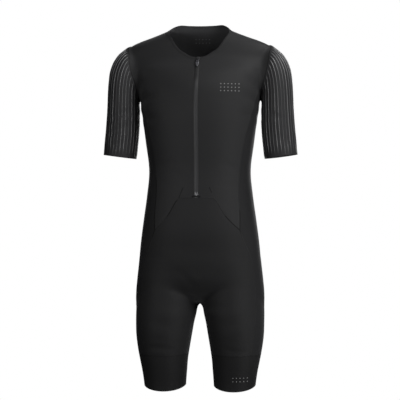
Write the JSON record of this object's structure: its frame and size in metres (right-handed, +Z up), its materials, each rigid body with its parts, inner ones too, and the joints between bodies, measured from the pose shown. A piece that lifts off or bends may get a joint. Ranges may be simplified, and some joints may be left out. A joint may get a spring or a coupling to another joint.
{
  "type": "cycling skinsuit",
  "caption": "Short-sleeved, short-legged one-piece cycling skinsuit with ribbed sleeves, a front zip and long side panels, standing hollow as if worn.",
  "frame": {"origin": "middle of the neck opening, level with the inner ends of the shoulder seams", "axes": "+Z up along the wearer, -Y the way the wearer faces, +X the wearer's left"},
  "size_m": [0.5064, 0.2394, 0.9503],
  "materials": {
    "front_knit": "smooth matte black four-way stretch knit",
    "back_knit": "smooth matte black four-way stretch knit",
    "side_knit": "darker, fine open knit",
    "shorts_knit": "denser matte black stretch knit",
    "band_knit": "raw-cut elastic band knit",
    "ribbed_knit": "black knit with raised lengthwise ribs and a soft sheen",
    "binding": "folded elastic edge binding",
    "zip_tape": "coated woven zip tape with covered coils",
    "dark_metal": "dark enamelled zinc",
    "stop_metal": "bare pressed aluminium"
  },
  "bodies": {
    "suit": {"front_left": "front_knit", "front_right": "front_knit", "back": "back_knit", "side_left": "side_knit", "side_right": "side_knit", "shorts_front": "shorts_knit", "shorts_back": "shorts_knit", "leg_band_left": "band_knit", "leg_band_right": "band_knit", "sleeve_left": "ribbed_knit", "sleeve_right": "ribbed_knit", "neck_binding": "binding", "zip_tape_left": "zip_tape", "zip_tape_right": "zip_tape", "zip_slider": "dark_metal", "zip_stop": "stop_metal"},
    "pull_tab": {"zip_pull": "dark_metal"}
  },
  "joints": [
    {"name": "pull_swing", "type": "hinge", "parent": "suit", "child": "pull_tab", "pos_m": [0, -0.07087, -0.08299], "axis": [-1, 0, 0], "range_deg": [0, 150]}
  ]
}
